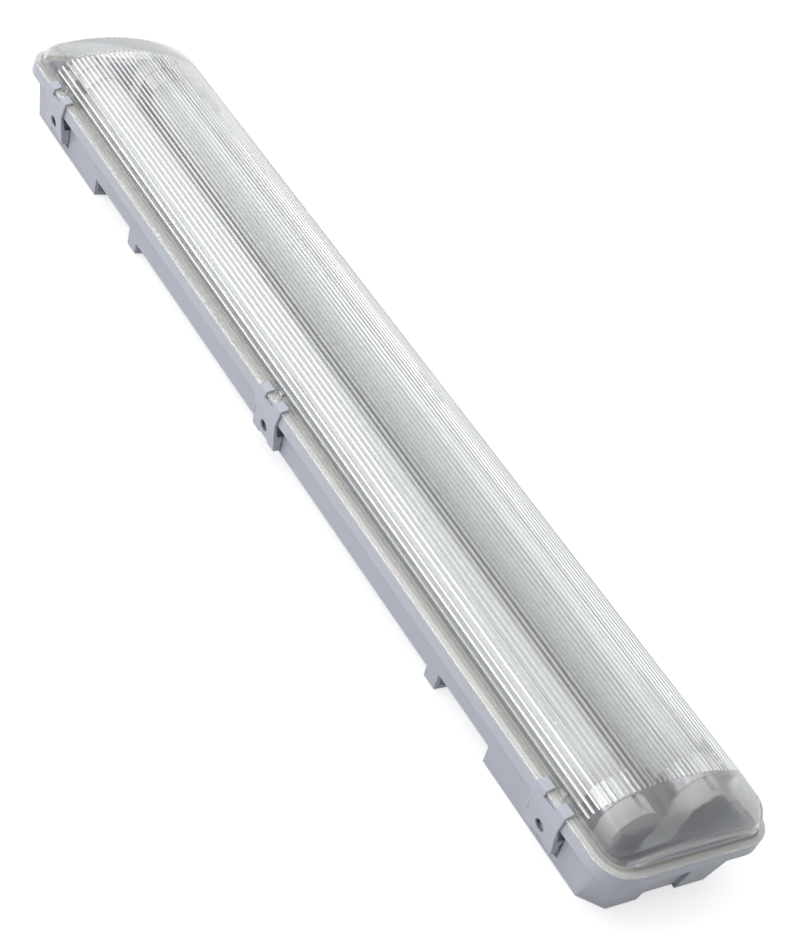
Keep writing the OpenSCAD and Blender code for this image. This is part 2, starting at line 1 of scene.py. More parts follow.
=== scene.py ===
import math
import bmesh
import bpy
from mathutils import Euler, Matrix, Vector


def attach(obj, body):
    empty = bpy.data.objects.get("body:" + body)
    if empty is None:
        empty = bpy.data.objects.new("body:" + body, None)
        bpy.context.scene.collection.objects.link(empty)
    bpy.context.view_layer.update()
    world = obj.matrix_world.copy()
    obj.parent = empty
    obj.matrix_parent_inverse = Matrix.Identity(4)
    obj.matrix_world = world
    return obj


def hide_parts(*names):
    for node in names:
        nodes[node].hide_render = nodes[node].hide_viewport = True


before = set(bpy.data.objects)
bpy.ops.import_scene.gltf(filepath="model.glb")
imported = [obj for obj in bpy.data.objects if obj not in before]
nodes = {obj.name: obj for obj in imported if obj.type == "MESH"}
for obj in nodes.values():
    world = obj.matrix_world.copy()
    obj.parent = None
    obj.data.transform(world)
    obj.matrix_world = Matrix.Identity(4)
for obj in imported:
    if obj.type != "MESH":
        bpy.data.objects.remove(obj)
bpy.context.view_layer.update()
print("frame loaded:", len(nodes), "nodes")

cameraSettings = {
    "place": (0.646797, -0.682919, 0.660037),
    "turn": (51.7433, -22.1949, 57.4728),  # degrees
    "lens": 77.71,  # mm
    "sensor": 36.0,  # mm along the picture's longer side
    "nearest": 0.01,  # what is closer to the camera isn't drawn
}

studio = {
    "worldColour": (0.86, 0.89, 0.94),
    "worldStrength": 0.19,
    "ceilingGrey": 0.34,  # what glossy and clear surfaces show of the room straight above
    "ceilingSpan": (0.05, 0.65),  # heights of the view between which white turns to that grey
    "floorColour": (0.62, 0.62, 0.62),
    "floorGlow": 0.70,  # what turns the lit floor white for the camera, and leaves the shadow
    "floorSize": 3.4,
    "floorDrop": 0.0006,  # how far the floor lies below the light's back
}

lamps = {
    "key": {"place": (-1.3, -2.7, 1.6), "aim": (0.0, 0.0, 0.0), "size": 5.6, "power": 116.0},
    "top": {"place": (-0.9, 0.6, 2.3), "aim": (0.0, 0.0, 0.0), "size": 4.6, "power": 58.0},
}


def makeCamera():
    data = bpy.data.cameras.new("photoView")
    data.lens = cameraSettings["lens"]
    data.sensor_width = cameraSettings["sensor"]
    data.clip_start = cameraSettings["nearest"]
    obj = bpy.data.objects.new("photoView", data)
    obj.location = cameraSettings["place"]
    obj.rotation_euler = Euler([math.radians(a) for a in cameraSettings["turn"]], "XYZ")
    bpy.context.scene.collection.objects.link(obj)
    bpy.context.scene.camera = obj
    print("camera placed")


def newMaterial(name):
    mat = bpy.data.materials.new(name)
    mat.use_nodes = True
    tree = mat.node_tree
    tree.nodes.clear()
    out = tree.nodes.new("ShaderNodeOutputMaterial")
    return mat, tree, out


def link(tree, a, b):
    tree.links.new(a, b)


def maths(tree, operation, first, second):
    # A Math node; an input is a number or another node's output
    node = tree.nodes.new("ShaderNodeMath")
    node.operation = operation
    for socket, value in zip(node.inputs, (first, second)):
        if isinstance(value, (int, float)):
            socket.default_value = value
        else:
            link(tree, value, socket)
    return node.outputs[0]


def seenRays(tree):
    # 1 for rays from the camera, also after glossy and clear surfaces, which show the white room
    path = tree.nodes.new("ShaderNodeLightPath")
    glossy, through = path.outputs["Is Glossy Ray"], path.outputs["Is Transmission Ray"]
    both = maths(tree, "MAXIMUM", glossy, through)
    seen = maths(tree, "MAXIMUM", path.outputs["Is Camera Ray"], both)
    # No matt surface on the way, so that the white lights nothing
    first = maths(tree, "LESS_THAN", path.outputs["Diffuse Depth"], 0.5)
    return maths(tree, "MULTIPLY", seen, first), path.outputs["Is Camera Ray"]


def makeFloor():
    size = studio["floorSize"]
    mesh = bpy.data.meshes.new("studioFloor")
    h = size / 2
    mesh.from_pydata([(-h, -h, 0), (h, -h, 0), (h, h, 0), (-h, h, 0)], [], [(0, 1, 2, 3)])
    obj = bpy.data.objects.new("studioFloor", mesh)
    obj.location.z = -studio["floorDrop"]
    bpy.context.scene.collection.objects.link(obj)
    mat, tree, out = newMaterial("studioFloorPaint")
    diffuse = tree.nodes.new("ShaderNodeBsdfDiffuse")
    diffuse.inputs["Color"].default_value = (*studio["floorColour"], 1)
    glow = tree.nodes.new("ShaderNodeEmission")
    seen = seenRays(tree)[0]
    link(tree, maths(tree, "MULTIPLY", seen, studio["floorGlow"]), glow.inputs["Strength"])
    add = tree.nodes.new("ShaderNodeAddShader")
    link(tree, diffuse.outputs[0], add.inputs[0])
    link(tree, glow.outputs[0], add.inputs[1])
    link(tree, add.outputs[0], out.inputs["Surface"])
    mesh.materials.append(mat)


def makeWorld():
    world = bpy.data.worlds.new("softRoom")
    bpy.context.scene.world = world
    world.use_nodes = True
    tree = world.node_tree
    tree.nodes.clear()
    out = tree.nodes.new("ShaderNodeOutputWorld")
    room = tree.nodes.new("ShaderNodeBackground")
    room.inputs["Color"].default_value = (*studio["worldColour"], 1)
    room.inputs["Strength"].default_value = studio["worldStrength"]
    seen, camera = seenRays(tree)
    # White at the horizon, a greyer ceiling overhead, and plain white for the camera itself
    place = tree.nodes.new("ShaderNodeTexCoord")
    split = tree.nodes.new("ShaderNodeSeparateXYZ")
    link(tree, place.outputs["Generated"], split.inputs[0])
    height = tree.nodes.new("ShaderNodeMapRange")
    height.interpolation_type = "SMOOTHSTEP"
    lowest, highest = studio["ceilingSpan"]
    height.inputs["From Min"].default_value = lowest
    height.inputs["From Max"].default_value = highest
    height.inputs["To Min"].default_value = 1.0
    height.inputs["To Max"].default_value = studio["ceilingGrey"]
    link(tree, split.outputs["Z"], height.inputs["Value"])
    white = tree.nodes.new("ShaderNodeBackground")
    white.inputs["Color"].default_value = (1, 1, 1, 1)
    link(tree, maths(tree, "MAXIMUM", height.outputs[0], camera), white.inputs["Strength"])
    mix = tree.nodes.new("ShaderNodeMixShader")
    link(tree, seen, mix.inputs[0])
    link(tree, room.outputs[0], mix.inputs[1])
    link(tree, white.outputs[0], mix.inputs[2])
    link(tree, mix.outputs[0], out.inputs["Surface"])


def makeLamps():
    for name, lamp in lamps.items():
        data = bpy.data.lights.new(name, "AREA")
        data.shape = "SQUARE"
        data.size = lamp["size"]
        data.energy = lamp["power"]
        obj = bpy.data.objects.new(name, data)
        obj.location = lamp["place"]
        aim = Vector(lamp["aim"]) - Vector(lamp["place"])
        obj.rotation_euler = aim.to_track_quat("-Z", "Y").to_euler()
        obj.visible_camera = False  # a soft box never stands in the picture
        bpy.context.scene.collection.objects.link(obj)
    print("studio lit")


def objectNoise(tree, scale, detail=3.0, stretch=None):
    # Noise on the object's own coordinates, in features per metre, drawn out along the axes
    place = tree.nodes.new("ShaderNodeTexCoord")
    noise = tree.nodes.new("ShaderNodeTexNoise")
    noise.inputs["Scale"].default_value = scale
    noise.inputs["Detail"].default_value = detail
    spot = place.outputs["Object"]
    if stretch:
        mapping = tree.nodes.new("ShaderNodeMapping")
        mapping.inputs["Scale"].default_value = stretch
        link(tree, spot, mapping.inputs["Vector"])
        spot = mapping.outputs[0]
    link(tree, spot, noise.inputs["Vector"])
    return noise.outputs[0]


def objectCells(tree, scale):
    place = tree.nodes.new("ShaderNodeTexCoord")
    cells = tree.nodes.new("ShaderNodeTexVoronoi")
    cells.inputs["Scale"].default_value = scale
    link(tree, place.outputs["Object"], cells.inputs["Vector"])
    return cells.outputs["Distance"]


def spread(tree, value, source, target):
    # Maps a value from one range onto another, each a pair
    node = tree.nodes.new("ShaderNodeMapRange")
    names = ("From Min", "From Max", "To Min", "To Max")
    for name, number in zip(names, (*source, *target)):
        node.inputs[name].default_value = number
    link(tree, value, node.inputs["Value"])
    return node.outputs[0]


def tint(tree, amount, first, second):
    # Mixes two colours; each is a tuple or another node's output
    node = tree.nodes.new("ShaderNodeMix")
    node.data_type = "RGBA"
    link(tree, amount, node.inputs["Factor"])
    for name, colour in (("A", first), ("B", second)):
        socket = [i for i in node.inputs if i.name == name and i.type == "RGBA"][0]
        if isinstance(colour, tuple):
            socket.default_value = (*colour, 1)
        else:
            link(tree, colour, socket)
    return [o for o in node.outputs if o.type == "RGBA"][0]


edgeSamples = 6


def edgeMask(tree, radius, agreement):
    # 1 on sharp edges, 0 on flat and gently curved faces, by how far the face's own normal
    # agrees with the rounded one; the second output is the rounded normal
    bevel = tree.nodes.new("ShaderNodeBevel")
    bevel.samples = edgeSamples
    bevel.inputs["Radius"].default_value = radius
    shape = tree.nodes.new("ShaderNodeNewGeometry")
    dot = tree.nodes.new("ShaderNodeVectorMath")
    dot.operation = "DOT_PRODUCT"
    link(tree, bevel.outputs[0], dot.inputs[0])
    link(tree, shape.outputs["Normal"], dot.inputs[1])
    sharp, flat = agreement
    return spread(tree, dot.outputs["Value"], (flat, sharp), (0.0, 1.0)), bevel.outputs[0]


def bumpFrom(tree, height, strength, distance, normal=None):
    bump = tree.nodes.new("ShaderNodeBump")
    bump.inputs["Strength"].default_value = strength
    bump.inputs["Distance"].default_value = distance
    link(tree, height, bump.inputs["Height"])
    if normal:
        link(tree, normal, bump.inputs["Normal"])
    return bump.outputs[0]


def principled(tree, out, colour, roughness, normal, metallic=0.0, ior=1.5):
    skin = tree.nodes.new("ShaderNodeBsdfPrincipled")
    skin.inputs["Metallic"].default_value = metallic
    skin.inputs["IOR"].default_value = ior
    link(tree, colour, skin.inputs["Base Color"])
    link(tree, roughness, skin.inputs["Roughness"])
    link(tree, normal, skin.inputs["Normal"])
    link(tree, skin.outputs[0], out.inputs["Surface"])


def toned(colour, share):
    return tuple(c * share for c in colour)


# In the finishes below, plain scales are features per metre, a span is the part of a pattern
# that is used, and depths and radii are metres
mouldedPlastic = {
    "flow": 9.0,  # broad uneven tone from the mould
    "flowStretch": (0.4, 1.0, 1.0),
    "flowSpan": (0.3, 0.7),
    "flowTones": (0.94, 1.03),
    "grain": 1500.0,  # fine spark-eroded grain
    "grainDepth": 0.00012,
    "scuff": 70.0,
    "scuffStretch": (0.3, 1.0, 1.0),
    "rubSpan": (0.35, 0.65),
    "rubAmount": (0.1, 0.75),
    "shineSpan": (0.3, 0.75),
    "shineChange": (-0.05, 0.09),  # added to the plastic's roughness
    "edgeRadius": 0.0007,
    "edgeRange": (0.93, 0.995),
    "worn": (1.22, 0.03, 0.9),  # gain, lift and upper limit of a rubbed edge's colour
}


def plasticMaterial(name, colour, roughness, grain):
    # Moulded plastic: uneven tone, fine grain, scuffs, and edges rubbed pale
    look = mouldedPlastic
    mat, tree, out = newMaterial(name)
    darker, lighter = [toned(colour, share) for share in look["flowTones"]]
    gain, lift, limit = look["worn"]
    worn = tuple(min(limit, c * gain + lift) for c in colour)
    flow = objectNoise(tree, look["flow"], 4.0, look["flowStretch"])
    tone = tint(tree, spread(tree, flow, look["flowSpan"], (0.0, 1.0)), darker, lighter)
    scuff = objectNoise(tree, look["scuff"], 6.0, look["scuffStretch"])
    edge, soft = edgeMask(tree, look["edgeRadius"], look["edgeRange"])
    rubbed = maths(tree, "MULTIPLY", edge, spread(tree, scuff, look["rubSpan"], look["rubAmount"]))
    tone = tint(tree, rubbed, tone, worn)
    grainHeight = objectNoise(tree, look["grain"], 2.0)
    shines = [roughness + change for change in look["shineChange"]]
    shine = spread(tree, scuff, look["shineSpan"], shines)
    bump = bumpFrom(tree, grainHeight, grain, look["grainDepth"], soft)
    principled(tree, out, tone, shine, bump)
    return mat


foamFinish = {
    "cells": 1300.0,
    "cellSpan": (0.0, 0.6),  # from a cell's middle to its wall
    "cellBite": 0.5,
    "cellDepth": 0.0003,
    # share of the colour kept in a cell's pit: painted shade
    "pitShadeTone": 0.72,
    "shine": (0.95, 0.75),
    "age": 12.0,
    "ageSpan": (0.35, 0.7),
    "ageAmount": (0.0, 0.14),
    "agedTone": (0.9, 0.84, 0.7),  # red, green and blue that aged foam keeps
}


def foamMaterial(name, colour):
    # Closed-cell foam: round cells of different depth, with painted shade darkening the pits
    look = foamFinish
    mat, tree, out = newMaterial(name)
    cells = objectCells(tree, look["cells"])
    # Each cell's middle is darkened towards its pit: painted shade
    pitShade = spread(tree, cells, look["cellSpan"], (0.0, 1.0))
    tone = tint(tree, pitShade, toned(colour, look["pitShadeTone"]), colour)
    age = spread(tree, objectNoise(tree, look["age"]), look["ageSpan"], look["ageAmount"])
    tone = tint(tree, age, tone, tuple(c * kept for c, kept in zip(colour, look["agedTone"])))
    shine = spread(tree, cells, look["cellSpan"], look["shine"])
    principled(tree, out, tone, shine, bumpFrom(tree, cells, look["cellBite"], look["cellDepth"]))
    return mat


sheetPaint = {
    "dust": 30.0,
    "dustStretch": (0.5, 1.0, 1.0),
    "dustSpan": (0.4, 0.75),
    "dustAmount": (0.0, 0.35),
    "dustTone": 0.86,
    "shine": (0.3, 0.5),  # clean and dusty
    "edgeRadius": 0.0006,
    "edgeRange": (0.9, 0.99),
    "foldAmount": 0.4,
    "foldTone": 0.75,
    "peel": 700.0,
    "peelBite": 0.2,
    "peelDepth": 0.0001,
}


def sheetPaintMaterial(name, colour):
    # Powder paint on sheet steel: orange peel, a little dust, thinner on the folds
    look = sheetPaint
    mat, tree, out = newMaterial(name)
    speckle = objectNoise(tree, look["dust"], 5.0, look["dustStretch"])
    dust = spread(tree, speckle, look["dustSpan"], look["dustAmount"])
    tone = tint(tree, dust, colour, toned(colour, look["dustTone"]))
    edge, soft = edgeMask(tree, look["edgeRadius"], look["edgeRange"])
    folds = maths(tree, "MULTIPLY", edge, look["foldAmount"])
    tone = tint(tree, folds, tone, toned(colour, look["foldTone"]))
    peel = objectNoise(tree, look["peel"], 2.0)
    shine = spread(tree, dust, look["dustAmount"], look["shine"])
    bump = bumpFrom(tree, peel, look["peelBite"], look["peelDepth"], soft)
    principled(tree, out, tone, shine, bump)
    return mat


lampFinish = {
    "coating": (0.70, 0.71, 0.71),
    "darkEnd": (0.40, 0.40, 0.38),  # the coating near the electrodes
    "endSpan": (0.262, 0.283),  # distances from the middle between which the ends darken
    "endCurve": 2.0,
    "endAmount": 0.6,
    "powder": 260.0,
    "powderSpan": (0.3, 0.7),
    "powderAmount": (0.0, 0.2),
    "powderTone": 0.97,
    "shine": (0.32, 0.38),
    "ripple": 60.0,
    "rippleStretch": (0.15, 1.0, 1.0),
    "rippleBite": 0.02,
    "rippleDepth": 0.0002,
    "ior": 1.36,
}


def lampMaterial(name):
    # White coating behind glass: a faint powder grain, greyer towards both ends
    look = lampFinish
    mat, tree, out = newMaterial(name)
    place = tree.nodes.new("ShaderNodeTexCoord")
    split = tree.nodes.new("ShaderNodeSeparateXYZ")
    link(tree, place.outputs["Object"], split.inputs[0])
    away = maths(tree, "ABSOLUTE", split.outputs["X"], 0.0)
    ends = spread(tree, away, look["endSpan"], (0.0, 1.0))
    ends = maths(tree, "MULTIPLY", maths(tree, "POWER", ends, look["endCurve"]), look["endAmount"])
    speckle = objectNoise(tree, look["powder"], 5.0)
    powder = spread(tree, speckle, look["powderSpan"], look["powderAmount"])
    tone = tint(tree, powder, look["coating"], toned(look["coating"], look["powderTone"]))
    tone = tint(tree, ends, tone, look["darkEnd"])
    shine = spread(tree, powder, look["powderAmount"], look["shine"])
    waves = objectNoise(tree, look["ripple"], 1.0, look["rippleStretch"])
    ripple = bumpFrom(tree, waves, look["rippleBite"], look["rippleDepth"])
    principled(tree, out, tone, shine, ripple, ior=look["ior"])
    return mat


drawnMetal = {
    "lines": 4200.0,
    "lineStretch": (1.0, 0.06, 0.06),
    "lineSpan": (0.3, 0.7),
    "lineShine": (-0.03, 0.05),
    "lineBite": 0.18,
    "lineDepth": 0.00006,
    "patches": 120.0,
    "patchSpan": (0.35, 0.7),
    "patchTone": 0.82,
    "dullSpan": (0.3, 0.7),
    "dullChange": (-0.04, 0.1),  # added to the metal's roughness
    "edgeRadius": 0.0004,
    "edgeRange": (0.9, 0.99),
    "edgeAmount": 0.5,
    "edgeTone": (1.15, 0.95),  # gain and upper limit of an edge's colour
}


def metalMaterial(name, colour, roughness):
    # Drawn or rolled metal: fine lines, dull patches and brighter edges
    look = drawnMetal
    mat, tree, out = newMaterial(name)
    lines = objectNoise(tree, look["lines"], 2.0, look["lineStretch"])
    patches = objectNoise(tree, look["patches"], 5.0)
    dull = spread(tree, patches, look["patchSpan"], (0.0, 1.0))
    tone = tint(tree, dull, colour, toned(colour, look["patchTone"]))
    edge, soft = edgeMask(tree, look["edgeRadius"], look["edgeRange"])
    gain, limit = look["edgeTone"]
    bright = tuple(min(limit, c * gain) for c in colour)
    tone = tint(tree, maths(tree, "MULTIPLY", edge, look["edgeAmount"]), tone, bright)
    dulls = [roughness + change for change in look["dullChange"]]
    shine = maths(tree, "ADD", spread(tree, patches, look["dullSpan"], dulls),
                  spread(tree, lines, look["lineSpan"], look["lineShine"]))
    bump = bumpFrom(tree, lines, look["lineBite"], look["lineDepth"], soft)
    principled(tree, out, tone, shine, bump, metallic=1.0)
    return mat


mouldedRubber = {
    "bloom": 160.0,
    "bloomSpan": (0.4, 0.75),
    "bloomAmount": (0.0, 0.6),
    "bloomTone": (1.8, 0.02),  # gain and lift of the bloom's colour
    "shine": (0.55, 0.8),
    "grain": 2400.0,
    "grainBite": 0.25,
    "grainDepth": 0.0001,
}


def rubberMaterial(name, colour):
    # Moulded rubber with a grey bloom
    look = mouldedRubber
    mat, tree, out = newMaterial(name)
    cloud = objectNoise(tree, look["bloom"], 5.0)
    bloom = spread(tree, cloud, look["bloomSpan"], look["bloomAmount"])
    gain, lift = look["bloomTone"]
    tone = tint(tree, bloom, colour, tuple(c * gain + lift for c in colour))
    shine = spread(tree, bloom, look["bloomAmount"], look["shine"])
    bump = bumpFrom(tree, objectNoise(tree, look["grain"]), look["grainBite"], look["grainDepth"])
    principled(tree, out, tone, shine, bump)
    return mat


braidedSleeve = {
    "threads": 420.0,
    "distortion": 0.6,
    "turns": (45.0, -45.0),  # degrees, the two crossing sets
    "gapTone": 0.7,
    "shine": (0.85, 0.6),
    "threadBite": 0.4,
    "threadDepth": 0.0002,
}


def sleeveMaterial(name, colour):
    # Braided glass-silk sleeve: two crossing sets of threads
    look = braidedSleeve
    mat, tree, out = newMaterial(name)
    place = tree.nodes.new("ShaderNodeTexCoord")
    weave = []
    for turn in look["turns"]:
        mapping = tree.nodes.new("ShaderNodeMapping")
        mapping.inputs["Rotation"].default_value = (0.0, 0.0, math.radians(turn))
        wave = tree.nodes.new("ShaderNodeTexWave")
        wave.inputs["Scale"].default_value = look["threads"]
        wave.inputs["Distortion"].default_value = look["distortion"]
        link(tree, place.outputs["Object"], mapping.inputs["Vector"])
        link(tree, mapping.outputs[0], wave.inputs["Vector"])
        weave.append(wave.outputs["Fac"])
    threads = maths(tree, "MAXIMUM", weave[0], weave[1])
    tone = tint(tree, threads, toned(colour, look["gapTone"]), colour)
    shine = spread(tree, threads, (0.0, 1.0), look["shine"])
    bump = bumpFrom(tree, threads, look["threadBite"], look["threadDepth"])
    principled(tree, out, tone, shine, bump)
    return mat


clearMoulding = {
    "ior": 1.49,
    "cloud": 45.0,
    "cloudStretch": (0.4, 1.0, 1.0),
    "cloudSpan": (0.3, 0.75),
    "peel": 60.0,
    "peelStretch": (0.3, 1.0, 1.0),
    "peelDepth": 0.0003,
}


def clearMaterial(name, colour, roughness, haze, shade, veil, orangePeel):
    # Clear moulding: light falls through it by shade, and a veil is the share that scatters
    look = clearMoulding
    mat, tree, out = newMaterial(name)
    glass = tree.nodes.new("ShaderNodeBsdfPrincipled")
    glass.inputs["Base Color"].default_value = (*colour, 1)
    glass.inputs["IOR"].default_value = look["ior"]
    glass.inputs["Transmission Weight"].default_value = 1.0 - veil
    cloud = objectNoise(tree, look["cloud"], 5.0, look["cloudStretch"])
    dull = spread(tree, cloud, look["cloudSpan"], (roughness, roughness + haze))
    link(tree, dull, glass.inputs["Roughness"])
    peel = objectNoise(tree, look["peel"], 1.0, look["peelStretch"])
    link(tree, bumpFrom(tree, peel, orangePeel, look["peelDepth"]), glass.inputs["Normal"])
    clear = tree.nodes.new("ShaderNodeBsdfTransparent")
    clear.inputs["Color"].default_value = (shade, shade, shade, 1)
    path = tree.nodes.new("ShaderNodeLightPath")
    mix = tree.nodes.new("ShaderNodeMixShader")
    link(tree, path.outputs["Is Shadow Ray"], mix.inputs[0])
    link(tree, glass.outputs[0], mix.inputs[1])
    link(tree, clear.outputs[0], mix.inputs[2])
    link(tree, mix.outputs[0], out.inputs["Surface"])
    return mat


def dress(mat, *prefixes):
    for name, obj in nodes.items():
        if name.startswith(prefixes):
            obj.data.materials.clear()
            obj.data.materials.append(mat)


lens = {
    "rim": (0.330, 0.056, 0.018),  # half length, half width and corner radius of the flange
    "flangeWidth": 0.004,
    "flangeFaces": (0.0344, 0.0359, 0.0376),  # underside, outer edge and foot of the dome
    "crownHeight": 0.0598,
    "crownRadius": 0.122,
    "ballRadius": 0.013,
    "wall": 0.002,
    "tongue": (0.0038, 0.0058, 0.0332),  # the tongue's two insets from the rim, and its lower face
    "ribCount": 35,
    "ribPitch": 0.0032,
    "ribWidth": 0.0013,
    "crestHalf": 0.12,  # half the flat top of a rib, as a share of its width
    "ribHeight": 0.0007,
    "ribHalf": 0.2975,
    "ribRunOut": 0.0005,
    "spans": 24,  # stretches along the length
    "fan": 10,  # steps round each corner
    "arcSteps": 12,  # steps up the outer shoulder
    "endRoll": (0.304, 0.024, 0.8),  # where the ends start to roll down, how fast and how far
    "endTaper": 0.03,  # share of its width that the dome loses at the end wall
    "footMargin": 0.0001,  # what is less than this below the dome's foot counts as dome
    "tolerance": 1e-6,
    "sharpAngle": 24.0,  # degrees
}

ballX, ballY = [half - lens["flangeWidth"] - lens["ballRadius"] for half in lens["rim"][:2]]
crownZ = lens["crownHeight"] - lens["crownRadius"]  # height of the crown's centre


def lensStations():
    # Angles across the crown and fractions down a shoulder: foot, crest and foot of every rib
    edge = math.asin(ballY / (lens["crownRadius"] - lens["ballRadius"]))
    inner = lens["crownRadius"] - lens["wall"]
    shoulder = lens["ballRadius"] - lens["wall"]
    span = math.pi / 2 - edge
    across = {-edge: 0.0, edge: 0.0}
    down = {0.0: 0.0, 1.0: 0.0}
    top = lens["crestHalf"]
    for i in range(lens["ribCount"] // 2 + 1):
        for step, crest in ((-0.5, 0.0), (-top, 1.0), (top, 1.0), (0.5, 0.0)):
            run = i * lens["ribPitch"] + step * lens["ribWidth"]
            past = (run - inner * edge) / shoulder / span
            if past > 0.0:
                down[past] = crest
            elif i * lens["ribPitch"] < inner * edge:
                across[run / inner] = crest
                across[-run / inner] = crest
    return edge, sorted(across.items()), sorted(down.items())


def lensRing(edge, across, xs):
    # One closed ring of stations round the dome: ball centre, outward and crown direction, and
    # whether it is on a long side
    reach = lens["crownRadius"] - lens["ballRadius"]

    def station(x, a, out, side):
        up = Vector((0, math.sin(a), math.cos(a)))
        centre = Vector((x, reach * up.y, crownZ + reach * up.z))
        return {"centre": centre, "out": out, "up": up, "side": side}

    angles = [a for a, crest in across]
    ring = []
    for quarter, (sx, sy) in enumerate(((1, 1), (-1, 1), (-1, -1), (1, -1))):
        for k in range(lens["fan"] + 1):
            turn = math.pi / 2 * (quarter + k / lens["fan"])
            out = Vector((math.cos(turn), math.sin(turn), 0))
            ring.append(station(sx * ballX, sy * edge, out, False))
        sides = [x for x in xs if abs(x) < ballX]
        if quarter == 0:
            ring += [station(x, edge, Vector((0, 1, 0)), True) for x in reversed(sides)]
        elif quarter == 1:
            left = Vector((-1, 0, 0))
            ring += [station(-ballX, a, left, False) for a in reversed(angles[1:-1])]
        elif quarter == 2:
            ring += [station(x, -edge, Vector((0, -1, 0)), True) for x in sides]
        else:
            ring += [station(ballX, a, Vector((1, 0, 0)), False) for a in angles[1:-1]]
    return ring


def shoulderPoint(s, radius, t):
    # A place on the shoulder's arc, from its foot at 0 to the crown at 1
    whole = s["out"].angle(s["up"])
    first = math.sin((1 - t) * whole) / math.sin(whole)
    second = math.sin(t * whole) / math.sin(whole)
    return s["centre"] + radius * (first * s["out"] + second * s["up"])


def rimPoint(s, inset, z):
    # A place on the flange's outline, moved in by an inset
    halfX, halfY, rimR = lens["rim"]
    x = s["centre"].x / ballX * (halfX - rimR)
    y = s["centre"].y / ballY * (halfY - rimR)
    return Vector((x, y, z)) + (rimR - inset) * s["out"]


def wallPoint(s, radius, z):
    base = s["centre"] + radius * s["out"]
    return Vector((base.x, base.y, z))


def alongRibs(x):
    return abs(x) <= lens["ribHalf"] + lens["tolerance"]


def shoulderRows(bm, crestLayer, ring, down):
    # Rows of vertices from the crown down outside, round the flange and the tongue, and up inside
    under, outerEdge, foot = lens["flangeFaces"]
    ball = lens["ballRadius"]
    inside = ball - lens["wall"]
    tongueOut, tongueIn, tongueZ = lens["tongue"]

    def level(place, crest=0.0):
        row = []
        for s in ring:
            v = bm.verts.new(place(s))
            v[crestLayer] = crest if s["side"] and alongRibs(s["centre"].x) else 0.0
            row.append(v)
        return row

    rows = []
    for k in range(1, lens["arcSteps"] + 1):
        t = 1 - k / lens["arcSteps"]
        rows.append(level(lambda s: shoulderPoint(s, ball, t)))
    rows.append(level(lambda s: wallPoint(s, ball, foot)))
    rows.append(level(lambda s: rimPoint(s, 0.0, outerEdge)))
    rows.append(level(lambda s: rimPoint(s, 0.0, under)))
    rows.append(level(lambda s: rimPoint(s, tongueOut, under)))
    rows.append(level(lambda s: rimPoint(s, tongueOut, tongueZ)))
    rows.append(level(lambda s: rimPoint(s, tongueIn, tongueZ)))
    rows.append(level(lambda s: wallPoint(s, inside, under)))
    for t, crest in reversed(down):
        if 0.0 < t <= 1.0:
            rows.append(level(lambda s: shoulderPoint(s, inside, 1 - t), crest))
    return rows


def crownGrid(bm, crestLayer, xs, across, radius, ribbed):
    # The crown's vertices, a line across it at every place along the length
    grid = []
    for x in xs:
        line = []
        for a, crest in across:
            v = bm.verts.new((x, radius * math.sin(a), crownZ + radius * math.cos(a)))
            v[crestLayer] = crest if ribbed and alongRibs(x) else 0.0
            line.append(v)
        grid.append(line)
    return grid


def fillGrid(bm, grid, turned):
    for line, following in zip(grid, grid[1:]):
        for j in range(len(line) - 1):
            corners = [line[j], following[j], following[j + 1], line[j + 1]]
            bm.faces.new(list(reversed(corners)) if turned else corners)


def fillRows(bm, rows):
    # Faces between each row and the next; a point that a corner repeats counts once
    for upper, lower in zip(rows, rows[1:]):
        for k in range(len(upper)):
            n = (k + 1) % len(upper)
            corners = []
            for v in (upper[k], lower[k], lower[n], upper[n]):
                if v not in corners:
                    corners.append(v)
            if len(corners) > 2:
                bm.faces.new(corners)


def makeLens():
    edge, across, down = lensStations()
    ribStop = lens["ribHalf"] + lens["ribRunOut"]
    xs = [lens["ribHalf"] * (2 * k / lens["spans"] - 1) for k in range(lens["spans"] + 1)]
    xs = sorted(set([-ballX, -ribStop] + xs + [ribStop, ballX]))
    ring = lensRing(edge, across, xs)
    mesh = bpy.data.meshes.new("ribbedDiffuser")
    bm = bmesh.new()
    crestLayer = bm.verts.layers.float.new("ribCrest")
    rows = shoulderRows(bm, crestLayer, ring, down)
    outer = crownGrid(bm, crestLayer, xs, across, lens["crownRadius"], False)
    inner = crownGrid(bm, crestLayer, xs, across, lens["crownRadius"] - lens["wall"], True)
    fillGrid(bm, outer, False)
    fillGrid(bm, inner, True)
    fillRows(bm, [crownBorder(outer, xs, across)] + rows + [crownBorder(inner, xs, across)])
    bmesh.ops.recalc_face_normals(bm, faces=bm.faces)
    rollEnds(bm)
    markZones(bm, ribStop)
    bm.to_mesh(mesh)
    bm.free()
    obj = bpy.data.objects.new("ribbedDiffuser", mesh)
    bpy.context.scene.collection.objects.link(obj)
    return obj


def rollEnds(bm):
    # Rolls the dome's ends down and draws them in a little above the flange
    start, length, depth = lens["endRoll"]
    foot = lens["flangeFaces"][2]
    for v in bm.verts:
        past = max(0.0, abs(v.co.x) - start) / length
        if past > 0.0 and v.co.z > foot - lens["footMargin"]:
            v.co.z = foot + (v.co.z - foot) * math.sqrt(1 - depth * past * past)
            v.co.y *= 1 - lens["endTaper"] * past * past


def markZones(bm, ribStop):
    # Zone 0 is clear, 1 the frosted ends of the dome, 2 the flange
    foot = lens["flangeFaces"][2]
    zoneLayer = bm.faces.layers.float.new("lensZone")
    for face in bm.faces:
        centre = face.calc_center_median()
        if centre.z < foot - lens["footMargin"]:
            face[zoneLayer] = 2.0
        elif abs(centre.x) > ribStop:
            face[zoneLayer] = 1.0


